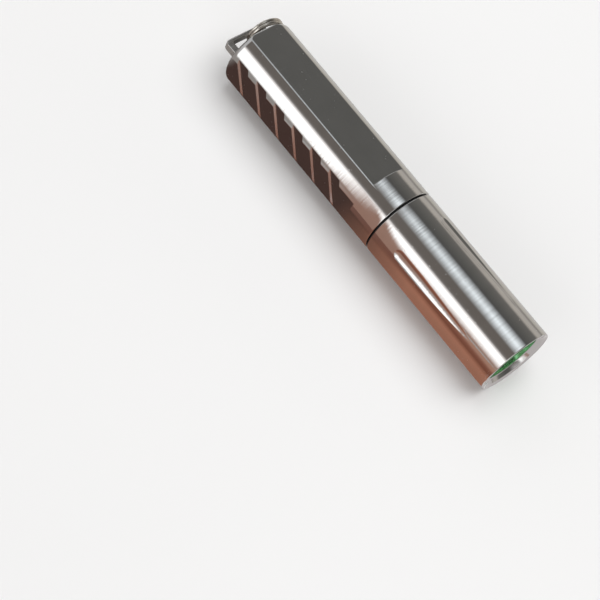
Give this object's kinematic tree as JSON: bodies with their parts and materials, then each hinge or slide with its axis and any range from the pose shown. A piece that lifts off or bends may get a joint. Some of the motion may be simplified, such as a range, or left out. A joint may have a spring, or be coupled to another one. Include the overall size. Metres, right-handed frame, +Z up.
{
  "type": "flashlight",
  "caption": "Polished steel pocket flashlight with a twist head, tapered flutes, slanted grip grooves, plain side flats, a tail lug and a split ring.",
  "frame": {"origin": "on the surface that the light lies on, below its axis in the plane of the bezel's lip", "axes": "+X along the beam, +Z up out of one plain side flat, Y across the light"},
  "size_m": [0.0757, 0.014, 0.014],
  "materials": {
    "polished_steel": "mirror polished",
    "nickel_plate": "nickel plated",
    "gold_plate": "gold plated",
    "black_rubber": "matt",
    "coated_glass": "green anti-reflection coating",
    "mirror_cup": "vacuum metallised",
    "board_aluminium": "white solder mask",
    "brass": "turned",
    "white_plastic": "moulded",
    "white_ceramic": "fired",
    "phosphor": "matt",
    "silicone": "clear",
    "circuit_board": "solder mask",
    "chip_plastic": "moulded",
    "ferrite": "sintered",
    "capacitor_ceramic": "fired",
    "cell_jacket": "printed sleeve, left plain",
    "red_insulation": "extruded",
    "black_insulation": "extruded"
  },
  "bodies": {
    "body": {"body_tube": "polished_steel", "joint_oring": "black_rubber", "tail_spring": "gold_plate"},
    "cell": {"cell_can": "cell_jacket", "cell_positive_cap": "nickel_plate", "cell_insulator": "white_plastic", "cell_negative_plate": "nickel_plate"},
    "head": {"head_shell": "polished_steel", "window": "coated_glass", "window_gasket": "black_rubber", "reflector": "mirror_cup", "led_centring_ring": "white_plastic", "led_base": "white_ceramic", "led_tile": "phosphor", "led_dome": "silicone", "led_board": "board_aluminium", "pill": "brass", "retaining_ring": "brass", "driver_board": "circuit_board", "driver_inductor": "ferrite", "driver_controller": "chip_plastic", "driver_diode": "chip_plastic", "driver_capacitor_in": "capacitor_ceramic", "driver_capacitor_out": "capacitor_ceramic", "positive_contact": "brass", "contact_washer": "white_plastic", "wire_positive": "red_insulation", "wire_negative": "black_insulation"},
    "key_ring": {"split_ring": "nickel_plate"}
  },
  "joints": [
    {"name": "head_travel", "type": "slide", "parent": "body", "child": "cell", "axis": [1, 0, 0], "range_m": [-0.00033, 0.0045], "deforming": ["tail_spring"]},
    {"name": "head_twist", "type": "hinge", "parent": "cell", "child": "head", "pos_m": [-0.0315, 0, 0.007], "axis": [1, 0, 0], "range_deg": [-160, 2160.1]},
    {"name": "key_ring_swing", "type": "hinge", "parent": "body", "child": "key_ring", "pos_m": [-0.0735, 0.00355, 0.007], "axis": [1, 0, 0], "continuous": true}
  ],
  "couplings": [
    {"joint": "head_twist", "follows": "head_travel", "rad_per_m": 8377.6}
  ]
}
